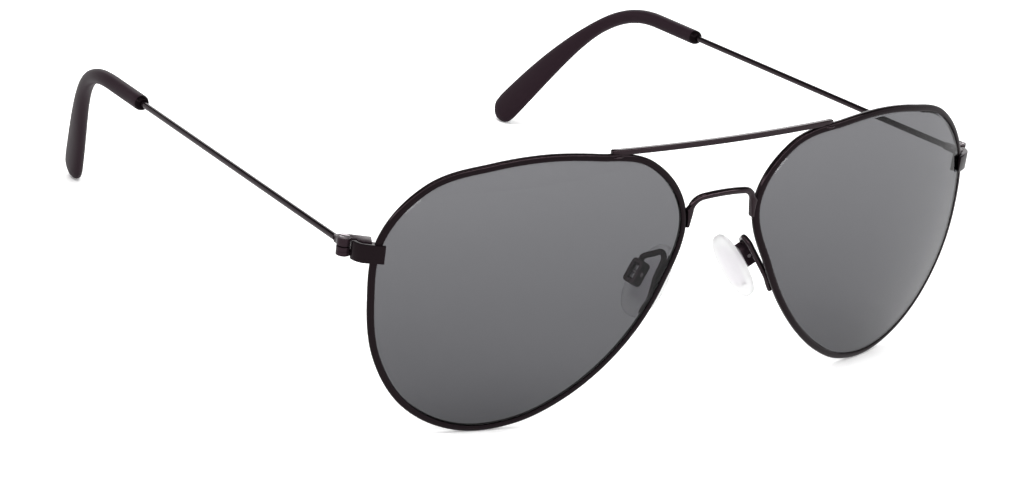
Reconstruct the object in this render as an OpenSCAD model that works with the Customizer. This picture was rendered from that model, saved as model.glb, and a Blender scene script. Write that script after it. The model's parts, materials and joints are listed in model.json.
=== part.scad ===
// Aviator sunglasses: two grooved wire rims with sphere-cut lenses, a bent wire bridge, a straight
// brow bar, split closing blocks, three-knuckle hinges, wire temples with moulded tips, and nose pads
// that rock in boxes on goose-neck arms.
//
// Axes: +X is the wearer's left, -Y is the front, +Z is up. The origin is under the middle of the
// part, on the table that the rims and the temple tips stand on. Most front pieces are drawn in the
// front frame: the lens centres at z = 0, before the front leans forward by pantoscopic_tilt.

/* [Lenses] */
// Width of a lens
lens_w = 53; // [50:0.5:58]
// Height of a lens
lens_h = 46; // [42:0.5:50]
// Thickness of a lens
lens_t = 0.9; // [0.8:0.05:0.95]
// Width of the gap between the two lenses
bridge_w = 16; // [15:0.5:19]
// Radius of the ball that the lenses are cut from
base_r = 85; // [75:1:110]

/* [Rims] */
// Width of the rim wire, in the plane of the lens
rim_w = 1.3; // [1.2:0.05:1.45]
// Depth of the rim wire, front to back
rim_d = 1.2; // [1.1:0.05:1.4]
// Width of the groove that holds the lens
groove_w = 0.6; // [0.5:0.05:0.65]
// Depth of the groove that holds the lens
groove_deep = 0.45; // [0.35:0.05:0.5]

/* [Face angles] */
// Angle that each lens wraps round the face
wrap = 9.75; // [7:0.25:12]
// Angle that the top of the front leans forward
pantoscopic_tilt = 2.75; // [0:0.25:5]

/* [Bridge and brow bar] */
// Diameter of the bridge wire
bridge_d = 1.15; // [1:0.05:1.3]
// Height of the middle of the bridge above the lens centres
bridge_z = 14.1; // [13.7:0.1:15.5]
// Height of the tabs that join the bridge to the rims
tab_h = 3.6; // [3:0.1:4.2]
// Side of the square brow bar
bar_side = 0.85; // [0.75:0.05:1.1]
// Forward bow of the brow bar at its middle
bar_bow = 1.1; // [0.4:0.1:1.6]

/* [End pieces and hinges] */
// Height of the plate at each end of the front
plate_h = 3.0; // [2.8:0.05:3.3]
// Distance from the rim wire out to the hinge axis
hinge_out = 4.95; // [4.85:0.05:5.3]
// Diameter of the hinge knuckles
knuckle_d = 2.3; // [2.1:0.05:2.4]
// Height of the three knuckles together
barrel_h = 2.9; // [2.7:0.05:3.1]
// Diameter of the hinge screw
hinge_screw_d = 0.95; // [0.8:0.05:1.05]
// Running clearance round the hinge screw, per side
running_fit = 0.03; // [0.02:0.01:0.06]

/* [Temples] */
// Diameter of the temple wire
wire_d = 1.0; // [0.9:0.05:1.15]
// Length of the straight run, from the hinge to where the ear bend starts
straight_len = 84.5; // [78:0.5:92]
// Distance that the ear bend reaches behind the straight run
ear_reach = 36; // [33:0.2:40]
// Distance that the tip ends inboard of the straight run
ear_inset = 11; // [8:0.2:13]
// Angle that the temples turn inward
toe_in = 2.0; // [1:0.1:3]
// Thickness of a temple tip, side to side
tip_t = 2.7; // [2.4:0.1:3.2]
// Width of a temple tip at its paddle end
tip_w = 6; // [5:0.1:6.6]
// Length of the temple tip ahead of the ear bend
tip_lead = 12.5; // [9:0.5:18]

/* [Nose pads] */
// Length of a nose pad
pad_len = 13; // [12:0.2:14.6]
// Width of a nose pad
pad_w = 7.2; // [6.4:0.2:8]
// Thickness of a nose pad
pad_t = 3.5; // [3.1:0.1:3.6]
// Diameter of the pad arm wire
arm_d = 1.0; // [0.8:0.05:1.05]
// Angle that each pad splays, its top toward the nose
pad_splay = 33; // [28:1:36]
// Angle that the top of each pad leans back
pad_lean = 6; // [3:1:9]
// Angle that each pad faces backward
pad_face = 8; // [4:1:12]

/* [Hidden] */
$fn = 48;
RIGHT = -1;
LEFT = 1;

// Lens outline: radii at equal angles from the temple side, counterclockwise as the wearer's left
// lens is seen from the front, drawn for a lens of drawn_w x drawn_h
drawn_w = 53;
drawn_h = 46;
outline_r = [26.3, 27.5, 26.3, 23.5, 22.8, 24.1, 28.0, 28.6, 23.3, 20.4, 19.4, 20.1, 22.3, 24.8, 26.1, 26.2];
rim_steps = 60;

// Rim section: [outward, forward] from the middle of the wire, with the groove on the inside
rim_flat = 0.5;
rim_half = rim_w / 2;
rim_deep = rim_d / 2;
groove_half = groove_w / 2;
rim_section = [
  [-rim_half, groove_half], [-rim_half, groove_half + 0.07], [-rim_half * rim_flat, rim_deep],
  [rim_half * rim_flat, rim_deep], [rim_half, groove_half], [rim_half, -groove_half],
  [rim_half * rim_flat, -rim_deep], [-rim_half * rim_flat, -rim_deep],
  [-rim_half, -groove_half - 0.07], [-rim_half, -groove_half],
  [groove_deep - rim_half, -groove_half], [groove_deep - rim_half, groove_half]
];

// Gaps: seat between fixed pieces, and room round the lens in its rim
seat = 0.02;
lens_room = 0.05;

// The rim opens at split_at, where the closing block clamps it
split_at = 17.6;
split_gap = 0.15;

// End plate, closing block and hinge leaf, in the end frame: x outboard, y backward, z up
plate_t = 0.9;
plate_front = -1;
plate_inner = plate_front + plate_t;
plate_in = -1.3;
plate_straight = 1.5;
plate_r = 2.65;
plate_tail = 0.25;
leaf_in = 0.8;
plate_low = -1.65;
leaf_low = 0.97;
leaf_t = 0.5;
web_back = 1.7;
block_in = -0.9;
block_out = 2.35;
block_back = 1.65;
block_wrap = 1.2;
block_wall = 0.3;
leaf_back = 2.3;
closing_screw_d = 0.8;
closing_head_d = 1.1;
closing_head_h = 0.4;
closing_at = [1.75, 0.85];

// Hinge levels, above the rim's split
hinge_back = 1.72;
barrel_low = -1.45;
barrel_top = barrel_low + barrel_h;
lower_h = 0.68;
middle_h = 0.72;
washer_h = 0.22;
washer_d = 1.5;
level_gap = 0.03;
middle_low = barrel_low + lower_h + level_gap;
middle_top = middle_low + middle_h;
upper_low = middle_top + washer_h + level_gap;
screw_head_d = 1.6;
screw_head_h = 0.42;
screw_slot = 0.25;
head_sunk = 0.3;

// Temple
shoe_len = 2.6;
shoe_h = 1.2;
shoe_up = 0.3;
shoe_t = 0.8;
wire_inboard = 0.42;
droop = 1.0;
leg_drop = 52;
leg_yaw = 22;
bend_pull = 14;
leg_pull = 27;
wire_steps = 26;
wire_sides = 12;
core_stop = 4;
tip_room = 0.04;
tip_nose = 0.8;

// Nose pads, in the front frame, for the wearer's left
box_at = [11.4, 5.35, -0.75];
box_w = 2.4;
box_h = 4.2;
box_corner = 0.65;
box_d = 2.0;
box_wall = 0.35;
lug_w = 1.3;
lug_h = 2.2;
lug_behind = 0.2;
pad_from_box = [-3.1, -0.6, -0.1];
pad_screw_d = 0.7;
foot_low = 195;
foot_high = 187;
foot_thick = 0.62;
foot_wide = 1.3;
foot_out = 0.45;
foot_solder = 0.1;
arm_in_box = 0.4;
arm_straight = 0.7;
arm_stop = 0.12;

// --- Curves -----------------------------------------------------------------------------------

function unit(v) = v / norm(v);
function last(v) = v[len(v) - 1];
function turn_x(p, a) = [p[0], p[1] * cos(a) - p[2] * sin(a), p[1] * sin(a) + p[2] * cos(a)];
function turn_y(p, a) = [p[0] * cos(a) + p[2] * sin(a), p[1], p[2] * cos(a) - p[0] * sin(a)];
function turn_z(p, a) = [p[0] * cos(a) - p[1] * sin(a), p[0] * sin(a) + p[1] * cos(a), p[2]];
function arc(c, r, a0, a1, n) =
  [for (i = [0:n]) let (a = a0 + (a1 - a0) * i / n) c + r * [cos(a), sin(a)]];

// Catmull-Rom curve from b to c, and through a list of points
function between(a, b, c, d, f) =
  b + 0.5 * f * (c - a + f * (2 * a - 5 * b + 4 * c - d + f * (3 * (b - c) + d - a)));
function through(p, n) = [
  for (i = [0:len(p) - 2], k = [0:n - 1])
    between(p[max(i - 1, 0)], p[i], p[i + 1], p[min(i + 2, len(p) - 1)], k / n),
  last(p)
];
function bezier(a, b, c, d, f) =
  a * pow(1 - f, 3) + 3 * b * f * pow(1 - f, 2) + 3 * c * f * f * (1 - f) + d * pow(f, 3);

// Direction of a path at point i, and a ring of section points square to it
function heading(p, i) = unit(p[min(i + 1, len(p) - 1)] - p[max(i - 1, 0)]);
function ring(at, dir, side_ref, section) =
  let (u = unit(cross(dir, side_ref)), v = cross(dir, u))
  [for (s = section) at + s[0] * u + s[1] * v];
function oval(a, b, n) = [for (i = [0:n - 1]) [a * cos(360 * i / n), b * sin(360 * i / n)]];

// Lens outline, and points on the ball, in the lens's own frame
function around(i) = outline_r[(i + len(outline_r)) % len(outline_r)];
function outline(t) =
  let (u = (t % 360) / 360 * len(outline_r), k = floor(u))
  between(around(k - 1), around(k), around(k + 1), around(k + 2), u - k)
  * [cos(t) * lens_w / drawn_w, sin(t) * lens_h / drawn_h];
function inset(t, d) =
  let (a = unit(outline(t + 361) - outline(t + 359))) outline(t + 360) + d * [-a[1], a[0]];
function on_ball(p) = [p[0], base_r - sqrt(base_r * base_r - p[0] * p[0] - p[1] * p[1]), p[1]];
function rim_at(t) = on_ball(outline(t + 360));
function rim_heading(t) = unit(rim_at(t + 1) - rim_at(t - 1));
function rearward(t) = unit([0, base_r, 0] - rim_at(t));
function outward(t) = cross(rearward(t), rim_heading(t));
function near_rim(t, out, back) = rim_at(t) + out * outward(t) + back * rearward(t);

// Lens frame to front frame, and front frame to the standing part
lens_x = (bridge_w + lens_w) / 2;
function to_front(p) = turn_z(p, wrap) + [lens_x, 0, 0];
function lean(p) = turn_x(p, pantoscopic_tilt);

function rim_angle(i) = split_at + split_gap + i * (360 - 2 * split_gap) / rim_steps;
rim_rings = [for (i = [0:rim_steps]) [for (s = rim_section) near_rim(rim_angle(i), s[0], -s[1])]];
lens_z = -min([for (r = rim_rings, p = r) lean(to_front(p))[2]]);
function standing(p) = lean(p) + [0, 0, lens_z];

// End frame: on the rim at its split, turned so that its y axis runs straight back through the wire
end_at = to_front(rim_at(split_at));
end_yaw = wrap + asin(rim_at(split_at)[0] / base_r);
rim_slope = turn_z(rim_heading(split_at), wrap - end_yaw);
hinge_at = end_at + turn_z([hinge_out, hinge_back, 0], end_yaw);

// Temple path: a straight run, then one curve down behind the ear
wire_dir = turn_z(turn_x([0, 1, 0], -droop), toe_in);
wire_start = standing(hinge_at + [-wire_inboard, 0, (middle_low + upper_low) / 2 + shoe_up]) + wire_dir * 3.2;
bend_start = wire_start + wire_dir * (straight_len - 3.2);
leg_dir = turn_z(turn_x([0, 1, 0], -leg_drop), leg_yaw);
tip_end = [bend_start[0] - ear_inset, bend_start[1] + ear_reach, tip_w / 2 * (1 - sin(leg_drop))];
ear_curve = [
  for (i = [0:wire_steps])
    bezier(bend_start, bend_start + wire_dir * bend_pull, tip_end - leg_dir * leg_pull, tip_end, i / wire_steps)
];
wire_path = concat(
  [wire_start, bend_start - wire_dir * (tip_lead - tip_nose), bend_start - wire_dir * 4],
  [for (i = [0:wire_steps - core_stop]) ear_curve[i]]
);
hole_path = concat(
  [bend_start - wire_dir * (tip_lead + 1), bend_start - wire_dir * 4],
  [for (i = [0:wire_steps - core_stop]) ear_curve[i]],
  [last([for (i = [0:wire_steps - core_stop]) ear_curve[i]]) + leg_dir * tip_room]
);

// Tip section along the ear curve: round at the front, a flat paddle at the end
function paddle(f) = f < 0.4 ? 0 : pow(sin(90 * (f - 0.4) / 0.6), 2);
function tip_rings() =
  let (
    nose = bend_start - wire_dir * tip_lead,
    round_end = tip_w / 2,
    path_len = norm(tip_end - ear_curve[wire_steps - 1])
  )
  concat(
    [
      for (s = [[0, 0.68], [tip_nose * 0.45, 0.84], [tip_nose, 1], [tip_lead - 4, 1]])
        ring(nose + wire_dir * s[0], wire_dir, [1, 0, 0], oval(tip_t / 2 * s[1], tip_t / 2 * s[1], 16))
    ],
    [
      for (i = [0:wire_steps - 2])
        let (w = tip_t / 2 + (tip_w - tip_t) / 2 * paddle(i / wire_steps))
        ring(ear_curve[i], heading(ear_curve, i), [1, 0, 0], oval(w, tip_t / 2, 16))
    ],
    [
      for (a = [20:14:90])
        ring(tip_end - leg_dir * round_end * (1 - sin(a)), leg_dir, [1, 0, 0],
          oval(round_end * max(cos(a), 0.06), tip_t / 2 * max(pow(cos(a), 0.6), 0.1), 16))
    ]
  );

// Bridge and bar, in the front frame
bridge_half = 5.45;
bridge_drop = 0.5;
bridge_front = -0.36;
bridge_sweep = 0.35;
bridge_bend = 1.5;
tab_t = 1.1;
tab_low = 8.75;
tab_foot = [6.4, tab_low];
tab_head = [5.75, tab_low + tab_h];
stem = [(tab_head[0] + bridge_half + 1.1) / 2, 0.1, tab_low + tab_h];
corner = [bridge_half + 0.1, 0.02, bridge_z - bridge_drop + 0.05];
function arch(x) =
  let (f = pow(x / bridge_half, 2)) [x, bridge_front + bridge_sweep * f, bridge_z - bridge_drop * f];
half_bridge = concat(
  [stem, (stem + corner) / 2],
  [for (f = [0.2:0.2:0.8])
    let (a = corner + unit(stem - corner) * bridge_bend, b = arch(bridge_half - bridge_bend))
    a * pow(1 - f, 2) + 2 * corner * f * (1 - f) + b * f * f],
  [for (f = [0:0.25:1]) arch((bridge_half - bridge_bend) * (1 - f))]
);
bridge_path = concat(
  half_bridge,
  [for (i = [len(half_bridge) - 2:-1:0]) [-half_bridge[i][0], half_bridge[i][1], half_bridge[i][2]]]
);
bar_on = 118;
bar_rim = to_front(rim_at(bar_on));
bar_back = 0.25;
bar_up = 0.77;
bar_steps = 12;
bar_chamfer = 0.13;

// Everything is moved back so that the origin lies under the middle of the part
front_y = min(
  min([for (p = bridge_path) standing(p)[1]]) - bridge_d / 2,
  standing(to_front([0, base_r, 0]))[1] - base_r - lens_t / 2
);
back_y = max([for (r = tip_rings(), p = r) p[1]]);
mid_y = (front_y + back_y) / 2;

// --- Solids and frames ------------------------------------------------------------------------

// A tube through a list of rings with equal numbers of points, closed at both ends
module tube(rings) {
  n = len(rings[0]);
  m = len(rings);
  polyhedron(
    points = [for (r = rings, p = r) p],
    faces = concat(
      [[for (k = [0:n - 1]) k]],
      [for (i = [0:m - 2], k = [0:n - 1]) [i * n + k, (i + 1) * n + k, i * n + (k + 1) % n]],
      [for (i = [0:m - 2], k = [0:n - 1])
        [i * n + (k + 1) % n, (i + 1) * n + k, (i + 1) * n + (k + 1) % n]],
      [[for (k = [n - 1:-1:0]) (m - 1) * n + k]]
    )
  );
}

module wire(path, d, side_ref) {
  tube([for (i = [0:len(path) - 1]) ring(path[i], heading(path, i), side_ref, oval(d / 2, d / 2, wire_sides))]);
}

module on_side(side) {
  translate([0, -mid_y, 0]) mirror([side == RIGHT ? 1 : 0, 0, 0]) children();
}

module in_front(side) {
  on_side(side) translate([0, 0, lens_z]) rotate([pantoscopic_tilt, 0, 0]) children();
}

module in_lens(side) {
  in_front(side) translate([lens_x, 0, 0]) rotate([0, 0, wrap]) children();
}

module in_end(side) {
  in_front(side) translate(end_at) rotate([0, 0, end_yaw]) children();
}

module in_pad(side) {
  in_front(side) translate(box_at)
    rotate([0, -pad_splay, 0]) rotate([-pad_lean, 0, 0]) rotate([0, 0, -pad_face]) children();
}

module slab(z0, z1) {
  translate([0, 0, z0]) linear_extrude(z1 - z0) children();
}

module rod(d, z0, z1) {
  translate([0, 0, z0]) cylinder(d = d, h = z1 - z0);
}

// --- Front ------------------------------------------------------------------------------------

module rim(side) {
  color("#17130f") in_lens(side) tube(rim_rings);
}

module lens_shell(t, edge) {
  intersection() {
    rotate([90, 0, 0])
      linear_extrude(2 * 30, center = true)
        polygon([for (i = [0:71]) inset(i * 5, edge)]);
    difference() {
      translate([0, base_r, 0]) sphere(r = base_r + t / 2, $fn = 240);
      translate([0, base_r, 0]) sphere(r = base_r - t / 2, $fn = 240);
    }
  }
}

// The edge leaves the extrusion square to y, so its back corner leans toward the rim by edge_lean
module lens(side) {
  edge_lean = lens_t / 2 * lens_w / 2 / base_r;
  color("#6d6e72", 0.7) in_lens(side) union() {
    lens_shell(lens_t, rim_half + lens_room + edge_lean);
    lens_shell(groove_w - 2 * lens_room - 0.06, rim_half - groove_deep + 2 * lens_room);
  }
}

module bridge() {
  color("#1b1613") in_front(LEFT) union() {
    wire(bridge_path, bridge_d, [0, 1, 0]);
    for (s = [0, 1])
      mirror([s, 0, 0]) bridge_tab();
  }
}

// The tab lies along the rim wire and narrows toward its foot
module bridge_tab() {
  rim_edge = [
    for (t = [155:1:166])
      let (p = to_front(near_rim(t, rim_half + seat, 0)))
      if (p[2] > tab_low && p[2] < tab_low + tab_h - 0.5) [p[0], p[2]]
  ];
  translate([0, stem[1], 0])
    rotate([90, 0, 0])
      linear_extrude(tab_t, center = true)
        polygon(concat([tab_foot, tab_head, [stem[0] + bridge_d / 2, tab_low + tab_h]], rim_edge));
}

module brow_bar() {
  half = bar_side / 2;
  cut = half - bar_chamfer;
  section = [
    [half, cut], [cut, half], [-cut, half], [-half, cut],
    [-half, -cut], [-cut, -half], [cut, -half], [half, -cut]
  ];
  path = [
    for (i = [0:bar_steps])
      let (f = 2 * i / bar_steps - 1)
      [f * bar_rim[0], bar_rim[1] + bar_back - bar_bow * (1 - f * f), bar_rim[2] + bar_up]
  ];
  color("#1b1613") in_front(LEFT) difference() {
    tube([for (i = [0:bar_steps]) ring(path[i], heading(path, i), [0, 0, 1], section)]);
    for (s = [0, 1])
      mirror([s, 0, 0]) translate([lens_x, 0, 0]) rotate([0, 0, wrap]) rim_seat();
  }
}

// The rim's own rings under the end of the bar, grown by the seat
module rim_seat() {
  first = floor((bar_on - split_at) / 360 * rim_steps) - 1;
  out = rim_half + seat;
  deep = rim_deep + seat;
  section = [
    [-out, -deep], [-out, deep], [out * rim_flat, deep], [out, groove_half + seat],
    [out, -groove_half - seat], [out * rim_flat, -deep]
  ];
  tube([for (i = [first:first + 3]) [for (s = section) near_rim(rim_angle(i), s[0], -s[1])]]);
}

// --- End pieces, closing blocks and hinges ----------------------------------------------------

// Outer or inner line of the end plate, which turns back round the corner of the face
function plate_line(inset) = concat(
  [[plate_in, plate_front + inset]],
  arc([plate_straight, plate_front + plate_r], plate_r - inset, -90, -end_yaw, 8),
  [[plate_straight, plate_front + plate_r] + (plate_r - inset) * [cos(end_yaw), -sin(end_yaw)]
    + plate_tail * [sin(end_yaw), cos(end_yaw)]]
);

// Room for the rim wire, along its slope at the split
module rim_channel(depth) {
  rotate([-asin(rim_slope[1]), atan2(rim_slope[0], rim_slope[2]), 0])
    translate([-4, -rim_deep - seat, -4])
      cube([4 + rim_half + seat, depth + rim_deep + seat, 8]);
}

module end_plate(side) {
  inner = plate_line(plate_t);
  color("#14100e") in_end(side) difference() {
    slab(plate_low, plate_low + plate_h)
      polygon(concat(plate_line(0), [for (i = [len(inner) - 1:-1:0]) inner[i]]));
    rim_channel(6);
  }
}

// Outline of the closing block: round the back of the rim and out to the plate
module block_outline() {
  room = plate_r - plate_t - seat;
  block_front = plate_front + plate_r - sqrt(room * room - pow(block_out - plate_straight, 2));
  polygon([
    [block_in, plate_inner + seat], [block_in, block_wrap],
    [rim_half + block_wall, block_back], [block_out, block_back], [block_out, block_front],
    [plate_straight, plate_inner + seat]
  ]);
}

module closing_block_upper(side) {
  color("#1b1613") in_end(side) difference() {
    slab(0.03, leaf_low - seat) block_outline();
    rim_channel(rim_deep + seat);
    translate(closing_at) rod(closing_screw_d, -1, leaf_low - 0.3);
  }
}

module closing_block_lower(side) {
  color("#1b1613") in_end(side) difference() {
    slab(plate_low, -0.03) block_outline();
    rim_channel(rim_deep + seat);
    translate(closing_at) rod(closing_screw_d + 2 * running_fit, plate_low - 1, 1);
    translate(closing_at) rod(closing_head_d + 0.1, plate_low - 1, plate_low + closing_head_h);
  }
}

module closing_screw(side) {
  color("#3a3634") in_end(side) translate(closing_at) difference() {
    union() {
      rod(closing_screw_d, plate_low + closing_head_h / 2, leaf_low - 0.32);
      rod(closing_head_d, plate_low, plate_low + closing_head_h);
    }
    translate([-1, -screw_slot / 2, plate_low - 1]) cube([2, screw_slot, 1.2]);
  }
}

// The front half of the hinge: a web between plate and block, a tab and knuckle below, and a top
// leaf and knuckle above, so that the temple's knuckle swings between them
module front_hinge(side) {
  c = [plate_straight, plate_front + plate_r];
  web_r = plate_r - plate_t - seat;
  web_in = block_out + seat;
  web_arc = arc(c, web_r, -70, -end_yaw, 6);
  barrel = [hinge_out, hinge_back];
  web = concat(
    [[web_in, c[1] - sqrt(web_r * web_r - pow(web_in - c[0], 2))]],
    [for (p = web_arc) if (p[0] > web_in + 0.1) p],
    [[web_in, web_back]]
  );
  // Round the back of the plate's tail, then on to the barrel
  past_tail = last(web_arc) + (plate_tail + 0.08) * [sin(end_yaw), cos(end_yaw)];
  to_barrel = [past_tail, barrel + [-0.7, -0.5], barrel + [0, -0.5]];
  color("#241c1a") in_end(side) difference() {
    union() {
      slab(barrel_low, barrel_top) polygon(web);
      slab(barrel_low, barrel_low + lower_h) union() {
        translate(barrel) circle(d = knuckle_d);
        polygon(concat([[web_in, 1.2]], to_barrel, [barrel + [0, 0.6], [web_in, web_back]]));
      }
      slab(leaf_low, leaf_low + leaf_t) union() {
        translate(barrel) circle(d = knuckle_d);
        polygon(concat(
          [[leaf_in, plate_inner + seat + 0.05]], web_arc, to_barrel,
          [barrel + [-0.2, knuckle_d / 2 - 0.02], [leaf_in, leaf_back]]
        ));
      }
      translate(barrel) rod(knuckle_d, upper_low, barrel_top);
    }
    translate(barrel) rod(hinge_screw_d, barrel_low - 1, barrel_low + lower_h);
    translate(barrel) rod(hinge_screw_d + 2 * running_fit, upper_low - 0.1, barrel_top + 1);
    translate(barrel) rod(screw_head_d + 0.1, barrel_top - head_sunk, barrel_top + 1);
  }
}

module hinge_screw(side) {
  color("#8d8886") in_end(side) translate([hinge_out, hinge_back, 0]) difference() {
    union() {
      rod(hinge_screw_d, barrel_low, barrel_top - head_sunk / 2);
      rod(screw_head_d, barrel_top - head_sunk, barrel_top - head_sunk + screw_head_h);
    }
    rotate([0, 0, 20])
      translate([-1, -screw_slot / 2, barrel_top - head_sunk + screw_head_h - 0.18])
        cube([2, screw_slot, 1]);
  }
}

// --- Temples ----------------------------------------------------------------------------------

// The temple's knuckle, with the flattened shoe that the wire is brazed to
module temple_hinge(side) {
  color("#3b2f2c") difference() {
    union() {
      in_front(side) translate(hinge_at) union() {
        rod(knuckle_d, middle_low, middle_top);
        rod(washer_d, middle_low, middle_top + washer_h);
        translate([-wire_inboard - shoe_t / 2, 0, middle_low])
          cube([shoe_t, 1.8, middle_h]);
      }
      difference() {
        on_side(side) translate(wire_start) rotate([-droop, 0, toe_in])
          translate([-shoe_t / 2, -shoe_len, -shoe_h / 2]) cube([shoe_t, shoe_len, shoe_h]);
        in_front(side) translate(hinge_at) rod(knuckle_d + 0.16, -5, 5);
      }
    }
    in_front(side) translate(hinge_at) rod(hinge_screw_d + 2 * running_fit, -5, 5);
  }
}

module temple_wire(side) {
  color("#1d1614") on_side(side) wire(wire_path, wire_d, [1, 0, 0]);
}

module temple_tip(side) {
  color("#332a2c") on_side(side) difference() {
    tube(tip_rings());
    wire(hole_path, wire_d + 2 * tip_room, [1, 0, 0]);
  }
}

// --- Nose pads --------------------------------------------------------------------------------

function in_box(p) = box_at + turn_y(turn_x(turn_z(p, -pad_face), -pad_lean), -pad_splay);

// Goose neck: flattened foot along the back of the rim, then up, over and down into the box
module pad_arm(side) {
  behind = rim_deep + foot_thick / 2 + foot_solder;
  foot = [for (t = [foot_low, (foot_low + foot_high) / 2, foot_high]) to_front(near_rim(t, foot_out, behind))];
  path = through(concat(foot,
    [[10.6, 1.3, -0.2], [9.5, 1.7, 1.6], [8.85, 2.1, 2.75], [8.6, 3.2, 3.35], [9.35, 4.3, 2.7]],
    [in_box([arm_in_box, 0, box_h / 2 + arm_straight]), in_box([arm_in_box, 0, box_h / 2 + arm_stop])]), 4);
  color("#241c1a") in_front(side) tube([
    for (i = [0:len(path) - 1])
      let (f = min(i / 12, 1), end = i == 0 ? 0.55 : 1, wide = foot_wide + (arm_d - foot_wide) * f,
        thick = foot_thick + (arm_d - foot_thick) * f)
      ring(path[i], heading(path, i), [1, 0, 0],
        oval(end * thick / 2, end * wide / 2, 10))
  ]);
}

// The box that holds the pad: open toward the pad, with a window in its base
module pad_box(side) {
  color("#2e2422") in_pad(side) difference() {
    rotate([0, 90, 0]) linear_extrude(box_d, center = true) rounded([box_h, box_w], box_corner);
    translate([-box_wall, 0, 0])
      cube([box_d, box_w - 2 * box_wall, box_h - 2 * box_wall], center = true);
    cube([2 * box_d, box_w - 2 * box_wall - 0.5, box_h - 2 * box_wall - 0.7], center = true);
    rotate([90, 0, 0]) cylinder(d = pad_screw_d, h = 2 * box_w, center = true);
  }
}

module rounded(size, r) {
  square([size[0] - 2 * r, size[1]], center = true);
  square([size[0], size[1] - 2 * r], center = true);
  for (x = [-1, 1], y = [-1, 1])
    translate([x * (size[0] / 2 - r), y * (size[1] / 2 - r)]) circle(r = r);
}

module pad_screw(side) {
  color("#8d8886") in_pad(side) rotate([90, 0, 0]) union() {
    cylinder(d = pad_screw_d, h = box_w, center = true);
    rod(1.1, -box_w / 2 - 0.3, -box_w / 2);
  }
}

// The insert: a lug on the box's screw, a neck, and a plate moulded into the pad
module insert_plate(grow) {
  translate(pad_from_box) rotate([0, 90, 0])
    linear_extrude(0.7 + 2 * grow, center = true)
      rounded([7.5 + 2 * grow, 3.6 + 2 * grow], 1.5 + grow);
  translate([pad_from_box[0], -lug_w / 2 - grow, -lug_h / 2 - grow])
    cube([-pad_from_box[0] - box_d / 2 + 0.1, lug_w + 2 * grow, lug_h + 2 * grow]);
}

module pad_insert(side) {
  color("#8c8791") in_pad(side) difference() {
    union() {
      insert_plate(0);
      translate([-box_d / 2 - 0.1, -lug_w / 2, -lug_h / 2])
        cube([box_d / 2 + 0.1 + lug_behind, lug_w, lug_h]);
    }
    rotate([90, 0, 0]) cylinder(d = pad_screw_d + 2 * running_fit, h = 2 * box_w, center = true);
  }
}

module nose_pad(side) {
  color("#e8e8e6", 0.6) in_pad(side) difference() {
    translate(pad_from_box) intersection() {
      rotate([0, 90, 0]) linear_extrude(2 * pad_t, center = true)
        polygon([for (i = [0:47]) let (a = i * 7.5)
          [pad_len / 2 * cos(a), pad_w / 2 * sin(a) * (1 - 0.12 * cos(a))]]);
      translate([14 - pad_t / 2, 0, 0]) sphere(r = 14, $fn = 160);
      translate([pad_t / 2 - 22, 0, 0]) sphere(r = 22, $fn = 160);
    }
    insert_plate(0.02);
  }
}

// --- Parts ------------------------------------------------------------------------------------

rim(RIGHT);  // rim_right
rim(LEFT);  // rim_left
lens(RIGHT);  // lens_right
lens(LEFT);  // lens_left
bridge();
brow_bar();
end_plate(RIGHT);  // end_plate_right
end_plate(LEFT);  // end_plate_left
closing_block_upper(RIGHT);  // closing_block_upper_right
closing_block_upper(LEFT);  // closing_block_upper_left
closing_block_lower(RIGHT);  // closing_block_lower_right
closing_block_lower(LEFT);  // closing_block_lower_left
closing_screw(RIGHT);  // closing_screw_right
closing_screw(LEFT);  // closing_screw_left
front_hinge(RIGHT);  // front_hinge_right
front_hinge(LEFT);  // front_hinge_left
temple_hinge(RIGHT);  // temple_hinge_right
temple_hinge(LEFT);  // temple_hinge_left
hinge_screw(RIGHT);  // hinge_screw_right
hinge_screw(LEFT);  // hinge_screw_left
temple_wire(RIGHT);  // temple_wire_right
temple_wire(LEFT);  // temple_wire_left
temple_tip(RIGHT);  // temple_tip_right
temple_tip(LEFT);  // temple_tip_left
pad_arm(RIGHT);  // pad_arm_right
pad_arm(LEFT);  // pad_arm_left
pad_box(RIGHT);  // pad_box_right
pad_box(LEFT);  // pad_box_left
pad_screw(RIGHT);  // pad_screw_right
pad_screw(LEFT);  // pad_screw_left
pad_insert(RIGHT);  // pad_insert_right
pad_insert(LEFT);  // pad_insert_left
nose_pad(RIGHT);  // nose_pad_right
nose_pad(LEFT);  // nose_pad_left
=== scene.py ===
"""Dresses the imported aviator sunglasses: wire rims, lenses, bridge, brow bar, end pieces, hinges,
temples and nose pads, on a plain pale floor in soft studio light.

Lengths are in metres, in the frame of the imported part: +X is the wearer's left, -Y the front, +Z up.
The left half is drawn first and the right half is its mirror image.
"""

import json
import math

import bmesh
import bpy
from bpy.props import FloatProperty, FloatVectorProperty, PointerProperty
from bpy.types import Operator, Panel, PropertyGroup
from mathutils import Matrix, Vector
from mathutils.bvhtree import BVHTree


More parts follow.
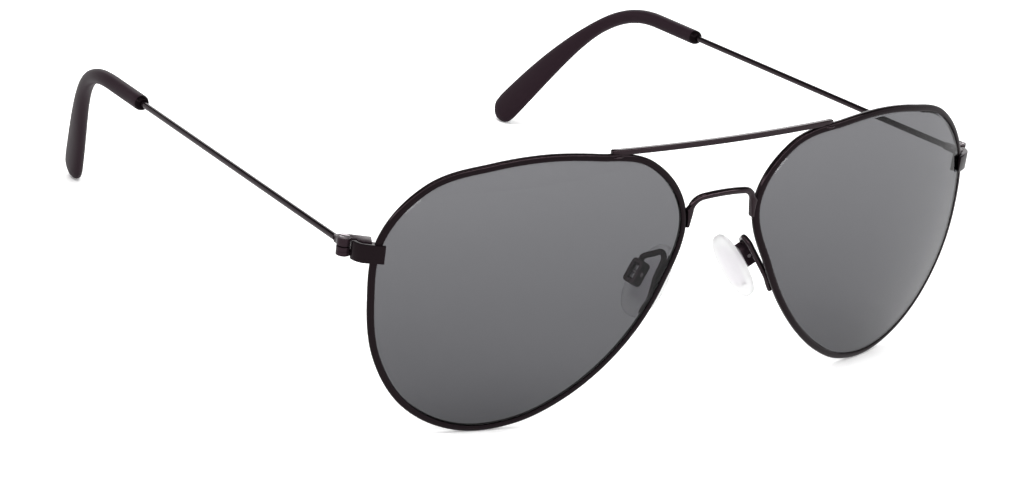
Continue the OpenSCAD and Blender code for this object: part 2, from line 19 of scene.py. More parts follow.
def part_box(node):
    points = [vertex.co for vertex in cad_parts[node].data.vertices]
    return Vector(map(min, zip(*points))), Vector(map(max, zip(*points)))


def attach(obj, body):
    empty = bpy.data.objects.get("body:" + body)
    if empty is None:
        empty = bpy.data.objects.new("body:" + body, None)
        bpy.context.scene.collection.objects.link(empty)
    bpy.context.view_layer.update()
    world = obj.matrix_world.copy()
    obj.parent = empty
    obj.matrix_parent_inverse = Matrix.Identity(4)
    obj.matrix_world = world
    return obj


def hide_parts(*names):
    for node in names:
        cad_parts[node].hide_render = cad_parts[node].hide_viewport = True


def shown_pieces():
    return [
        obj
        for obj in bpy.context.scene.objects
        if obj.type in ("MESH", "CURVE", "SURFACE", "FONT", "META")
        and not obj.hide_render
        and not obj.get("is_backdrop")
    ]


bl_info = {
    "name": "Aviator sunglasses",
    "version": (1, 0, 0),
    "blender": (4, 5, 0),
    "location": "View3D > Sidebar > Sunglasses",
    "description": "Builds the visible pieces of wire-rimmed aviator sunglasses on their packed frame",
    "category": "Add Mesh",
}

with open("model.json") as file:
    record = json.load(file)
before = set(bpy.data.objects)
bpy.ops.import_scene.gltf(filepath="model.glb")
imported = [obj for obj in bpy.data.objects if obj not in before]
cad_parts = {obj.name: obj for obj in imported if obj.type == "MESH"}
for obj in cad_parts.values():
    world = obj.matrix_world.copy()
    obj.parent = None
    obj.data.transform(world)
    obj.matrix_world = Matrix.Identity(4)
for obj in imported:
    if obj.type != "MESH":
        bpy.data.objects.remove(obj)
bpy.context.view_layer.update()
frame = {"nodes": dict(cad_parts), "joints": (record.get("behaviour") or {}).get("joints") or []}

MM = 0.001
SIDES = (("left", 1), ("right", -1))

# --- Photograph ---

PHOTO_W = 1024
PHOTO_H = 492
PHOTO_LONG = max(PHOTO_W, PHOTO_H)

# Image points: name: (x, y, piece, what is measured). None leaves that direction out.
IMAGE_POINTS = {
    "object_left": (65.2, None, "", "left"),
    "object_right": (967.9, None, "", "right"),
    "object_top": (None, 9.6, "", "top"),
    "object_bottom": (None, 431.0, "", "bottom"),
    "near_rim_left": (366.7, None, "rim_right", "left"),
    "near_rim_top": (None, 152.9, "rim_right", "top"),
    "far_rim_right": (960.3, None, "rim_left", "right"),
    "far_rim_top": (None, 105.1, "rim_left", "top"),
    "far_rim_bottom": (None, 358.6, "rim_left", "bottom"),
    "near_hinge_screw": (346.8, 234.6, "hinge_screw_right", "middle"),
    "near_pad_box": (636.0, 273.0, "pad_box_right", "middle"),
    "far_pad_top": (None, 236.0, "nose_pad_left", "top"),
    "far_pad_bottom": (None, 296.4, "nose_pad_left", "bottom"),
    "far_pad_left": (711.0, None, "nose_pad_left", "left"),
    "near_bar_end": (610.3, None, "brow_bar", "left"),
    "near_bar_braze": (619.0, 157.5, "bar_braze_right", "middle"),
}

# Camera, settled by the image points: where it stands and how far it is turned
CAMERA_AT = Vector((-289.07, -410.787, 197.849)) * MM
CAMERA_AZIMUTH = -35.82
CAMERA_ELEVATION = 21.11
CAMERA_ROLL = 5.5
CAMERA_LENS = 104.18
SENSOR_WIDTH = 36.0


def srgb(code):
    """Linear red, green and blue of a hex sRGB colour."""
    parts = [int(code[i : i + 2], 16) / 255 for i in (1, 3, 5)]
    return tuple(c / 12.92 if c <= 0.04045 else ((c + 0.055) / 1.055) ** 2.4 for c in parts)


# --- Sizes and colours that a user would change ---


def length(name, description, default_mm):
    default = default_mm * MM
    return FloatProperty(name=name, description=description, default=default, unit="LENGTH", precision=5)


def colour(name, description, code):
    return FloatVectorProperty(
        name=name, description=description, default=srgb(code), subtype="COLOR", size=3, min=0, max=1
    )


class SunglassesSizes(PropertyGroup):
    """Sizes of the wire pieces, lenses, tips and pads"""

    lens_w: length("Lens width", "Width of a lens", 53)
    lens_h: length("Lens height", "Height of a lens", 46)
    lens_t: length("Lens thickness", "Thickness of a lens", 0.9)
    bridge_w: length("Bridge gap", "Gap between the two lenses", 16)
    base_r: length("Base curve", "Radius of the ball that the lenses are cut from", 85)
    rim_w: length("Rim width", "Width of the rim wire in the plane of the lens", 1.3)
    rim_d: length("Rim depth", "Depth of the rim wire, front to back", 1.2)
    bridge_d: length("Bridge wire", "Diameter of the bridge wire", 1.15)
    bridge_z: length("Bridge height", "Height of the middle of the bridge above the lens centres", 14.1)
    bar_side: length("Brow bar", "Side of the square brow bar", 0.85)
    bar_bow: length("Brow bar bow", "Forward bow of the brow bar at its middle", 1.1)
    wire_d: length("Temple wire", "Diameter of the temple wire", 1.0)
    straight: length("Temple run", "Straight run from the hinge to the ear bend", 84.5)
    tip_t: length("Tip thickness", "Thickness of a temple tip, side to side", 2.7)
    tip_w: length("Tip width", "Width of a temple tip at its paddle end", 6)
    pad_len: length("Pad length", "Length of a nose pad", 13)
    pad_w: length("Pad width", "Width of a nose pad", 7.2)
    pad_t: length("Pad thickness", "Thickness of a nose pad", 3.5)
    arm_d: length("Pad arm wire", "Diameter of the pad arm wire", 1.0)


class SunglassesColours(PropertyGroup):
    """Colours of the lacquers, lens tint and mouldings"""

    wire: colour("Wire lacquer", "Black lacquer of the rims, bars and temples", "#0d090b")
    hinge: colour("Hinge lacquer", "Brown-black lacquer of the hinges and pad boxes", "#1e151a")
    sheen: colour("Lacquer sheen", "Mauve cast of what the black lacquers mirror", "#ffd8e6")
    screw: colour("Screw steel", "Turned steel of the screws", "#b5adb1")
    # Painted reflection: the lens's two greys make it lighter at its top than at its foot, as the light above
    # it would in reflection
    tint: colour("Lens tint", "Grey that the lens leaves of white light at its top", "#7a7a7d")
    painted_gradient_foot_tint: colour("Lower tint", "Grey that the lens leaves of white light at its foot", "#545457")
    tip: colour("Tip plastic", "Moulded plastic of the temple tips", "#2a1f25")
    silicone: colour("Pad silicone", "Clear silicone of the nose pads", "#ffffff")
    core: colour("Pad core", "Milky core moulded into the nose pads", "#fcf9fd")
    floor: colour("Floor", "Pale floor under the sunglasses", "#ffffff")


# --- Form of the front, repeated from the part's own construction ---

# Lens outline: radii in millimetres at equal angles from the temple side, as drawn at that size
OUTLINE_R = (26.3, 27.5, 26.3, 23.5, 22.8, 24.1, 28.0, 28.6, 23.3, 20.4, 19.4, 20.1, 22.3, 24.8, 26.1, 26.2)
DRAWN_W = 53
DRAWN_H = 46
# Degrees that each lens turns back at its temple side, and that the front leans
WRAP = 9.75
TILT = 2.75


def turned(point, *turns):
    """The point after each (axis, degrees) turn about the origin, in order."""
    for axis, degrees in turns:
        point = Matrix.Rotation(math.radians(degrees), 3, axis) @ point
    return point


def between(a, b, c, d, f):
    """Catmull-Rom value between b and c."""
    return b + 0.5 * f * (c - a + f * (2 * a - 5 * b + 4 * c - d + f * (3 * (b - c) + d - a)))


def through(points, steps):
    """A smooth curve through the points, with that many steps between each two."""
    last = len(points) - 1
    curve = [
        between(points[max(i - 1, 0)], points[i], points[i + 1], points[min(i + 2, last)], k / steps)
        for i in range(last)
        for k in range(steps)
    ]
    return curve + [points[last]]


def bezier(a, b, c, d, f):
    """Cubic curve from a to d, pulled by b and c."""
    g = 1 - f
    return a * g**3 + 3 * b * f * g * g + 3 * c * f * f * g + d * f**3


class Front:
    """Places on the left lens and rim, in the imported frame."""

    def __init__(self, sizes):
        self.sizes = sizes
        self.shift = Vector()
        # The middle of the rim node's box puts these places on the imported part
        own = [self.on_rim(t, 0, 0) for t in range(0, 360, 3)]
        low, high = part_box("rim_left")
        for i in range(3):
            values = [p[i] for p in own]
            self.shift[i] = (low[i] + high[i]) / 2 - (min(values) + max(values)) / 2

    def outline(self, t):
        """The lens's outline at t degrees, seen straight on."""
        u = (t % 360) / 360 * len(OUTLINE_R)
        k = int(u)
        around = [OUTLINE_R[(k + i) % len(OUTLINE_R)] for i in (-1, 0, 1, 2)]
        r = between(*around, u - k)
        angle = math.radians(t)
        x = r * math.cos(angle) * self.sizes.lens_w / DRAWN_W
        z = r * math.sin(angle) * self.sizes.lens_h / DRAWN_H
        return Vector((x, z))

    def inset(self, t, distance):
        """The outline at t degrees, moved inward."""
        along = (self.outline(t + 1) - self.outline(t - 1)).normalized()
        return self.outline(t) + distance * Vector((-along[1], along[0]))

    def on_ball(self, flat, back=0.0):
        """A place on the lens's ball, moved back along the ball's radius, in the lens's frame."""
        r = self.sizes.base_r
        point = Vector((flat[0], r - math.sqrt(r * r - flat[0] ** 2 - flat[1] ** 2), flat[1]))
        return point + (Vector((0, r, 0)) - point).normalized() * back

    def placed(self, point):
        """From the lens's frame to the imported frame."""
        return self.from_front(turned(point, ("Z", WRAP)) + Vector((self.lens_x(), 0, 0)))

    def from_front(self, point):
        """From the front's frame, whose z is 0 at the lens centres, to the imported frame."""
        return turned(point, ("X", TILT)) + self.shift

    def lens_x(self):
        return (self.sizes.bridge_w + self.sizes.lens_w) / 2

    def rim_axes(self, t):
        """A place on the outline, with the directions outward and rearward there."""
        point = self.on_ball(self.outline(t))
        along = (self.on_ball(self.outline(t + 1)) - self.on_ball(self.outline(t - 1))).normalized()
        rearward = (Vector((0, self.sizes.base_r, 0)) - point).normalized()
        return point, rearward.cross(along), rearward

    def in_lens(self, t, out, back):
        """A place by the rim wire, in the lens's frame."""
        point, outward, rearward = self.rim_axes(t)
        return point + out * outward + back * rearward

    def in_front(self, t, out, back):
        """A place by the rim wire, in the front's frame."""
        return turned(self.in_lens(t, out, back), ("Z", WRAP)) + Vector((self.lens_x(), 0, 0))

    def on_rim(self, t, out, back):
        """A place by the rim wire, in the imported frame."""
        return self.placed(self.in_lens(t, out, back))


# --- Mesh helpers ---


def superellipse(half_a, half_b, count, power=2.0, start=0.0, end=360.0):
    """Points of a rounded outline, from soft round (2) toward a square (8)."""
    points = []
    for i in range(count):
        angle = math.radians(start + (end - start) * i / count)
        c, s = math.cos(angle), math.sin(angle)
        a = half_a * math.copysign(abs(c) ** (2 / power), c)
        b = half_b * math.copysign(abs(s) ** (2 / power), s)
        points.append((a, b))
    return points


def rounded_square(half, radius, per_corner):
    """A closed section: a square with rounded corners, counter-clockwise."""
    points = []
    for corner in range(4):
        middle = math.radians(45 + 90 * corner)
        x = math.copysign(half - radius, math.cos(middle))
        y = math.copysign(half - radius, math.sin(middle))
        for k in range(per_corner):
            a = math.radians(90 * corner + 90 * k / (per_corner - 1))
            points.append((x + radius * math.cos(a), y + radius * math.sin(a)))
    return points


def across(path, index, reference):
    """Two directions square to the path at that point."""
    ahead = (path[min(index + 1, len(path) - 1)] - path[max(index - 1, 0)]).normalized()
    side = ahead.cross(reference).normalized()
    return side, ahead.cross(side)


def sweep(path, sections, reference):
    """Rings of section points along a path."""
    rings = []
    for i, point in enumerate(path):
        side, up = across(path, i, reference)
        rings.append([point + a * side + b * up for a, b in sections[i]])
    return rings


def stitched(bm, near, far):
    """A band of faces between two closed rings of vertices, in their order."""
    turns = [(k, (k + 1) % len(near)) for k in range(len(near))]
    return [bm.faces.new((near[k], near[n], far[n], far[k])) for k, n in turns]


def loft(rings):
    """A closed skin through rings that have equal numbers of points."""
    bm = bmesh.new()
    grid = [[bm.verts.new(p) for p in ring] for ring in rings]
    for near, far in zip(grid, grid[1:]):
        stitched(bm, near, far)
    bm.faces.new(grid[0])
    bm.faces.new(grid[-1])
    bmesh.ops.recalc_face_normals(bm, faces=bm.faces)
    return bm


def mirrored(bm):
    """The same mesh on the other side of the middle plane."""
    copy = bm.copy()
    for vert in copy.verts:
        vert.co.x = -vert.co.x
    bmesh.ops.reverse_faces(copy, faces=copy.faces)
    return copy


def new_object(name, bm, *materials):
    """Turns a mesh under construction into an object of the scene."""
    mesh = bpy.data.meshes.new(name)
    bm.to_mesh(mesh)
    bm.free()
    for material in materials:
        mesh.materials.append(material)
    made = bpy.data.objects.new(name, mesh)
    bpy.context.scene.collection.objects.link(made)
    return made


def add_piece(name, bm, material, body, nodes, sharp=40):
    """A piece of the object, riding on its body in place of its CAD nodes. Edges over sharp degrees
    stay crisp."""
    piece = new_object(name, bm, finish_of(material))
    piece.data.shade_smooth()
    piece.data.set_sharp_from_angle(angle=math.radians(sharp))
    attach(piece, body)
    if nodes:
        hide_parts(*nodes)
    return piece


def add_pair(name, bm, material, bodies, replace=True, sharp=40):
    """The left piece and its mirror image. bodies names the left and the right body."""
    pair = {}
    for (side, sign), body in zip(SIDES, bodies):
        own = bm.copy() if sign > 0 else mirrored(bm)
        node = f"{name}_{side}"
        full_name, nodes = (node + "_skin", [node]) if replace else (node, [])
        pair[side] = add_piece(full_name, own, material, body, nodes, sharp)
    bm.free()
    return pair


# Meshed corners closer than this are one; flatter creases than this are none
WELD = 0.002 * MM
FLAT = math.radians(2)


def eased_copy(node, bevel, material, body, sharp=35):
    """A CAD node's own shape with its sharp edges eased, as tumbling and lacquer leave them."""
    bm = bmesh.new()
    bm.from_mesh(frame["nodes"][node].data)
    bmesh.ops.remove_doubles(bm, verts=bm.verts, dist=WELD)
    bmesh.ops.dissolve_limit(bm, angle_limit=FLAT, verts=bm.verts, edges=bm.edges)
    edges = [e for e in bm.edges if len(e.link_faces) == 2 and e.calc_face_angle(0) > math.radians(sharp)]
    bmesh.ops.bevel(
        bm, geom=edges, offset=bevel, segments=2, profile=0.7, affect="EDGES", clamp_overlap=True
    )
    bmesh.ops.triangulate(bm, faces=[f for f in bm.faces if len(f.verts) > 4])
    return add_piece(node + "_skin", bm, material, body, [node], sharp=32)


# --- Materials ---

NOISE = "ShaderNodeTexNoise"
# Sockets of a colour mix
MIX_BY, MIX_A, MIX_B, MIX_RESULT = 0, 6, 7, 2


def add_node(tree, kind, sockets=None, links=None, **settings):
    """Adds a node with its settings, socket values and incoming links."""
    node = tree.nodes.new(kind)
    for name, value in settings.items():
        setattr(node, name, value)
    for name, value in (sockets or {}).items():
        node.inputs[name].default_value = value
    for name, source in (links or {}).items():
        tree.links.new(source, node.inputs[name])
    return node


def rgba(colour_parts):
    return (*colour_parts[:3], 1.0)


def emptied(owner, kind="ShaderNodeOutputMaterial"):
    """The node tree of a material or world, cleared, and the surface socket of its new output."""
    owner.use_nodes = True
    tree = owner.node_tree
    tree.nodes.clear()
    return tree, add_node(tree, kind).inputs["Surface"]


def started(name):
    """A new material, its tree and its object coordinates."""
    material = bpy.data.materials.new(name)
    tree, _ = emptied(material)
    return material, tree, add_node(tree, "ShaderNodeTexCoord").outputs["Object"]


def finished(material, relief, strength, sockets, links, depth_mm=0.01):
    """Ends a material in one Principled shader, its surface raised by the relief's height."""
    tree = material.node_tree
    height = {"Strength": strength, "Distance": depth_mm * MM}
    bump = add_node(tree, "ShaderNodeBump", height, {"Height": relief.outputs["Fac"]})
    links = {"Normal": bump.outputs["Normal"], **links}
    shader = add_node(tree, "ShaderNodeBsdfPrincipled", sockets, links)
    tree.links.new(shader.outputs["BSDF"], tree.get_output_node("ALL").inputs["Surface"])
    return material


def pattern(feature_mm, detail):
    """Sockets of a noise whose features are that many millimetres apart."""
    return {"Scale": 1 / (feature_mm * MM), "Detail": detail}


def sprayed_lacquer(name, base, sheen, roughness, metallic, specular, peel_mm):
    """Baked lacquer: a deep coat with a faint orange peel, a little thinner and browner where the
    gun missed, so that the sheen wanders along the wire."""
    material, tree, place = started(name)
    peel = add_node(tree, NOISE, pattern(peel_mm, 2.0), {"Vector": place})
    drift = add_node(tree, NOISE, pattern(9, 3.0), {"Vector": place}).outputs["Fac"]
    thin = [c * 1.7 + 0.002 for c in base]
    ends = {MIX_A: rgba(base), MIX_B: rgba(thin)}
    coat = add_node(tree, "ShaderNodeMix", ends, {MIX_BY: drift}, data_type="RGBA")
    span = {"To Min": roughness * 0.85, "To Max": roughness * 1.2}
    gloss = add_node(tree, "ShaderNodeMapRange", span, {"Value": drift}).outputs["Result"]
    sockets = {"Metallic": metallic, "Specular IOR Level": specular, "Specular Tint": rgba(sheen)}
    links = {"Base Color": coat.outputs[MIX_RESULT], "Roughness": gloss}
    return finished(material, peel, 0.25, sockets, links)


def turned_steel(name, base):
    """Screw steel cut on a lathe: fine rings that stretch each highlight."""
    material, tree, place = started(name)
    rings = add_node(tree, NOISE, pattern(0.12, 4.0), {"Vector": place})
    steel = {"Base Color": rgba(base), "Metallic": 1.0, "Roughness": 0.28}
    return finished(material, rings, 0.3, steel, {}, depth_mm=0.004)


def tinted_polycarbonate(name, tint, low):
    """Injection-moulded, polished lens: clear grey that deepens toward its foot and lightens toward its top,
    a painted reflection of the light above; its reflections kept faint by a coat."""
    material, tree, place = started(name)
    wave = add_node(tree, NOISE, pattern(14, 1.0), {"Vector": place})
    # Painted reflection: the grey lightens with height, from the foot's grey to the lighter top grey
    height = add_node(tree, "ShaderNodeSeparateXYZ", None, {"Vector": place}).outputs["Z"]
    span = {"From Min": 0.0, "From Max": DRAWN_H * MM}
    painted_reflection_rise = add_node(tree, "ShaderNodeMapRange", span, {"Value": height}).outputs["Result"]
    ends = {MIX_A: rgba(low), MIX_B: rgba(tint)}
    painted_reflection_blend = add_node(tree, "ShaderNodeMix", ends, {MIX_BY: painted_reflection_rise}, data_type="RGBA")
    clear = {"Transmission Weight": 1.0, "Roughness": 0.0, "IOR": 1.25}
    return finished(material, wave, 0.02, clear, {"Base Color": painted_reflection_blend.outputs[MIX_RESULT]})


def moulded_plastic(name, base, sheen, roughness, grain_mm):
    """Satin moulding: a spark-eroded mould leaves a very fine, even grain that dulls its shine."""
    material, tree, place = started(name)
    grain = add_node(tree, NOISE, pattern(grain_mm, 3.0), {"Vector": place})
    shade = add_node(tree, NOISE, pattern(12, 2.0), {"Vector": place})
    span = {"To Min": roughness * 0.85, "To Max": roughness * 1.15}
    gloss = add_node(tree, "ShaderNodeMapRange", span, {"Value": shade.outputs["Fac"]})
    satin = {"Base Color": rgba(base), "Specular IOR Level": 0.04, "Specular Tint": rgba(sheen)}
    return finished(material, grain, 0.3, satin, {"Roughness": gloss.outputs["Result"]})


def hazy_moulding(name, base, clear, ior, haze_mm, detail, strength):
    """Clear or milky moulding: light passes it softened, so that its edges show only faintly."""
    material, tree, place = started(name)
    haze = add_node(tree, NOISE, pattern(haze_mm, detail), {"Vector": place})
    soft = {"Base Color": rgba(base), "Transmission Weight": clear, "Roughness": 0.3, "IOR": ior}
    return finished(material, haze, strength, soft, {})


WIRE_LACQUER = "black lacquer on wire"
RIM_LACQUER = "thin black lacquer on rims"
HINGE_LACQUER = "brown lacquer on brass"
STEEL = "turned screw steel"
# Each material: its maker, the colours it takes and its own values
MAKERS = {
    WIRE_LACQUER: (sprayed_lacquer, ("wire", "sheen"), (0.1, 0.0, 0.3, 0.5)),
    RIM_LACQUER: (sprayed_lacquer, ("wire", "sheen"), (0.08, 0.0, 0.12, 0.5)),
    HINGE_LACQUER: (sprayed_lacquer, ("hinge", "sheen"), (0.2, 0.0, 0.2, 0.4)),
    STEEL: (turned_steel, ("screw",), ()),
    "tinted polycarbonate": (tinted_polycarbonate, ("tint", "painted_gradient_foot_tint"), ()),
    "satin moulded plastic": (moulded_plastic, ("tip", "sheen"), (0.4, 0.3)),
    "polished moulded plastic": (moulded_plastic, ("wire", "sheen"), (0.12, 1.5)),
    # Compression-moulded silicone, with a soft haze
    "clear silicone": (hazy_moulding, ("silicone",), (0.82, 1.12, 0.8, 2.0, 0.15)),
    # The hard core, which glows softly through the silicone
    "milky polycarbonate": (hazy_moulding, ("core",), (0.9, 1.1, 2.5, 1.0, 0.1)),
}


def finish_of(name):
    """The named material, made on first use."""
    maker, parts, values = MAKERS[name]
    colours = [getattr(bpy.context.scene.sunglasses_colours, part) for part in parts]
    return bpy.data.materials.get(name) or maker(name, *colours, *values)


# --- Operators: front ---

# The bodies that the left and the right piece of a pair ride on
FRONT = ("front", "front")
TEMPLES = ("temple_left", "temple_right")
PADS = ("pad_left", "pad_right")

# The rim's groove, its split at the temple side in degrees, and half the cut there
GROOVE_HALF = 0.3 * MM
GROOVE_DEEP = 0.45 * MM
GROOVE_LIP = 0.06 * MM
SPLIT_AT = 17.6
SPLIT_HALF = 0.15
RIM_STEPS = 300
# Points round the wire, and how far its section goes from round (2) toward square
RIM_COUNT = 26
RIM_POWER = 2.8


class BuildRims(Operator):
    """Bend a grooved wire rim round each lens"""

    bl_idname = "sunglasses.build_rims"
    bl_label = "Rims"

    def execute(self, context):
        sizes = context.scene.sunglasses_sizes
        front = Front(sizes)
        half_w, half_d = sizes.rim_w / 2, sizes.rim_d / 2
        # Round wire whose inner side is rolled into two lips and a groove
        lip = math.degrees(math.asin(((GROOVE_HALF + GROOVE_LIP) / half_d) ** (RIM_POWER / 2)))
        wire = superellipse(half_w, half_d, RIM_COUNT, RIM_POWER, 180 - lip, -180 + lip)
        bottom = GROOVE_DEEP - half_w
        groove = [(bottom, -GROOVE_HALF), (bottom, GROOVE_HALF)]
        section = wire + [(wire[-1][0], -GROOVE_HALF), *groove, (wire[0][0], GROOVE_HALF)]
        rings = []
        for i in range(RIM_STEPS + 1):
            t = SPLIT_AT + SPLIT_HALF + i * (360 - 2 * SPLIT_HALF) / RIM_STEPS
            rings.append([front.on_rim(t, a, b) for a, b in section])
        add_pair("rim", loft(rings), RIM_LACQUER, FRONT)
        return {"FINISHED"}


# Play of the lens's ground edge in the groove, and the width of the ground step
EDGE_PLAY = 0.08 * MM
EDGE_SHORT = 0.1 * MM
EDGE_STEP = 0.1 * MM
LENS_TURNS = 180
LENS_SHARES = (0.06, 0.15, 0.3, 0.45, 0.6, 0.75, 0.88, 0.96)


class BuildLenses(Operator):
    """Cut each lens from its ball, its edge ground thin for the groove"""

    bl_idname = "sunglasses.build_lenses"
    bl_label = "Lenses"

    def execute(self, context):
        sizes = context.scene.sunglasses_sizes
        front = Front(sizes)
        half_t = sizes.lens_t / 2
        edge_t = GROOVE_HALF - EDGE_PLAY
        edge_in = sizes.rim_w / 2 - GROOVE_DEEP + EDGE_SHORT
        full_in = sizes.rim_w / 2 + EDGE_STEP
        bm = bmesh.new()

        def placed(flat, back):
            return bm.verts.new(front.placed(front.on_ball(flat, back)))

        profile = [(full_in, share, -half_t) for share in LENS_SHARES]
        profile += [(full_in, 1, -half_t), (edge_in, 1, -edge_t), (edge_in, 1, edge_t), (full_in, 1, half_t)]
        profile += [(full_in, share, half_t) for share in reversed(LENS_SHARES)]
        rings = [
            [placed(front.inset(i * 360 / LENS_TURNS, inset) * share, back) for i in range(LENS_TURNS)]
            for inset, share, back in profile
        ]
        for near, far in zip(rings, rings[1:]):
            stitched(bm, near, far)
        for end, back in ((rings[0], -half_t), (rings[-1], half_t)):
            middle = placed((0, 0), back)
            for k in range(LENS_TURNS):
                bm.faces.new((end[k], end[(k + 1) % LENS_TURNS], middle))
        bmesh.ops.recalc_face_normals(bm, faces=bm.faces)
        add_pair("lens", bm, "tinted polycarbonate", FRONT, sharp=25)
        return {"FINISHED"}


# Bridge: the tabs, the arch between them, and the bend at each shoulder
TAB_H = 3.6 * MM
TAB_HEAD = 8.75 * MM + TAB_H
TAB_T = 1.1 * MM
TAB_FOOT_X = 6.4 * MM
TAB_HEAD_X = 5.75 * MM
BRIDGE_HALF = 5.45 * MM
BRIDGE_DROP = 0.5 * MM
BRIDGE_FRONT = -0.36 * MM
BRIDGE_BEND = 1.5 * MM
BRIDGE_SINK = 0.35 * MM
BRIDGE_COUNT = 24
# The wire's end over a tab's head, how far the shoulder's corner lies out from the arch, the steps
STEM_X = (TAB_HEAD_X + BRIDGE_HALF + 1.1 * MM) / 2
STEM_Y = 0.1 * MM
SHOULDER = (0.1 * MM, 0.02 * MM, 0.05 * MM)
BEND_STEPS = 8
ARCH_STEPS = 6
# The tabs' rings as shares of their height, where they spread, their gap to the rim, their end
TAB_RINGS = (0.0, 0.16, 0.3, 0.45, 0.6, 0.75, 0.9, 0.97, 1.0)
TAB_SPREAD = 0.12
TAB_GAP = 0.01 * MM
TAB_ROUND = 0.86


class BuildBridge(Operator):
    """Bend the bridge wire and flatten its two ends into tabs along the rims"""

    bl_idname = "sunglasses.build_bridge"
    bl_label = "Bridge"

    def execute(self, context):
        sizes = context.scene.sunglasses_sizes
        front = Front(sizes)
        stem = Vector((STEM_X, STEM_Y, TAB_HEAD))
        x, y, z = SHOULDER
        corner = Vector((BRIDGE_HALF + x, y, sizes.bridge_z - BRIDGE_DROP + z))
        r = sizes.bridge_d / 2
        path = self.wire_path(sizes, stem, corner)
        rings = sweep(path, [superellipse(r, r, BRIDGE_COUNT)] * len(path), Vector((0, 1, 0)))
        bm = loft([[front.from_front(p) for p in ring] for ring in rings])
        rim_edge = [front.in_front(t, sizes.rim_w / 2, 0) for t in range(150, 175)]
        for sign in (1, -1):
            tab = [self.tab_ring(f, sign, stem, r, rim_edge) for f in TAB_RINGS]
            last = tab[-1]
            centre = sum(last, Vector()) / len(last)
            tab[-1] = [centre + (p - centre) * TAB_ROUND for p in last]
            extra = loft([[front.from_front(p) for p in ring] for ring in tab])
            mesh = bpy.data.meshes.new("tab")
            extra.to_mesh(mesh)
            extra.free()
            bm.from_mesh(mesh)
            bpy.data.meshes.remove(mesh)
        add_piece("bridge_skin", bm, WIRE_LACQUER, "front", ["bridge"])
        return {"FINISHED"}

    def wire_path(self, sizes, stem, corner):
        """The wire's line from the left tab's head, over the arch, to the right one's."""

        def arch(x):
            f = (x / BRIDGE_HALF) ** 2
            return Vector((x, BRIDGE_FRONT + BRIDGE_SINK * f, sizes.bridge_z - BRIDGE_DROP * f))

        into = corner + (stem - corner).normalized() * BRIDGE_BEND
        reach = BRIDGE_HALF - BRIDGE_BEND
        out = arch(reach)
        half = [stem, (stem + into) / 2]
        for f in (i / BEND_STEPS for i in range(BEND_STEPS + 1)):
            half.append(into * (1 - f) ** 2 + 2 * corner * f * (1 - f) + out * f * f)
        half += [arch(reach * (1 - i / ARCH_STEPS)) for i in range(1, ARCH_STEPS + 1)]
        return half + [Vector((-p.x, p.y, p.z)) for p in reversed(half[:-1])]

    def tab_ring(self, f, sign, stem, r, rim_edge):
        """The wire flattened between the hammer and the rim, f of the way down to its square foot."""
        z = TAB_HEAD - f * TAB_H
        inner = TAB_HEAD_X + (TAB_FOOT_X - TAB_HEAD_X) * f
        outer = min(rim_edge, key=lambda p: abs(p.z - z)).x - TAB_GAP
        flat = min(1, f * 3)
        spread = f > TAB_SPREAD
        middle = (inner + outer) / 2 if spread else stem.x
        width = (outer - inner) / 2 if spread else r
        depth = r + (TAB_T / 2 - r) * flat
        section = superellipse(width, depth, BRIDGE_COUNT, 2 + 4 * flat)
        return [Vector((sign * (middle + a), stem.y + b, z)) for a, b in section]


# Brow bar: the place on the rim in degrees that it ends over, and where it lies from there
BAR_ON = 118
BAR_BACK = 0.25 * MM
BAR_UP = 0.77 * MM
BAR_EDGE = 0.19 * MM
# Lacquer on the bare bar, and its tumbled ends: (way along it, share of its section)
BAR_COAT = 0.05 * MM
BAR_ENDS = ((0.0, 0.6), (0.07 * MM, 0.85), (0.2 * MM, 1.0))
BAR_STEPS = 40


class BuildBrowBar(Operator):
    """Lay the straight brow bar on the two rims"""

    bl_idname = "sunglasses.build_brow_bar"
    bl_label = "Brow bar"

    def execute(self, context):
        sizes = context.scene.sunglasses_sizes
        front = Front(sizes)
        on = front.in_front(BAR_ON, 0, 0)
        half = sizes.bar_side / 2 + BAR_COAT
        path = []
        for i in range(BAR_STEPS + 1):
            f = 2 * i / BAR_STEPS - 1
            y = on.y + BAR_BACK - sizes.bar_bow * (1 - f * f)
            path.append(front.from_front(Vector((f * on.x, y, on.z + BAR_UP - BAR_COAT))))
        ahead = (path[1] - path[0]).normalized()
        back = (path[-2] - path[-1]).normalized()
        start = [path[0] + ahead * d for d, _ in BAR_ENDS]
        stop = [path[-1] + back * d for d, _ in reversed(BAR_ENDS)]
        ends = [share for _, share in BAR_ENDS]
        shares = ends + [1.0] * (BAR_STEPS - 1) + ends[::-1]
        sections = [rounded_square(half * share, BAR_EDGE * share, 7) for share in shares]
        bm = loft(sweep(start + path[1:-1] + stop, sections, Vector((0, 0, 1))))
        add_piece("brow_bar_skin", bm, WIRE_LACQUER, "front", ["brow_bar"])
        return {"FINISHED"}


# How deep the screw slot is, how far under the head's top its faces start, how far out they reach; those
# faces are painted dark as the slot's shade
SLOT_DEEP = 0.2 * MM
SLOT_LIP = 0.03 * MM
SLOT_REACH = 0.42 * MM
# Widths of the eased edges
PLATE_EASE = 0.09 * MM
HINGE_EASE = 0.07 * MM
CORE_EASE = 0.08 * MM
SCREW_EASE = 0.05 * MM


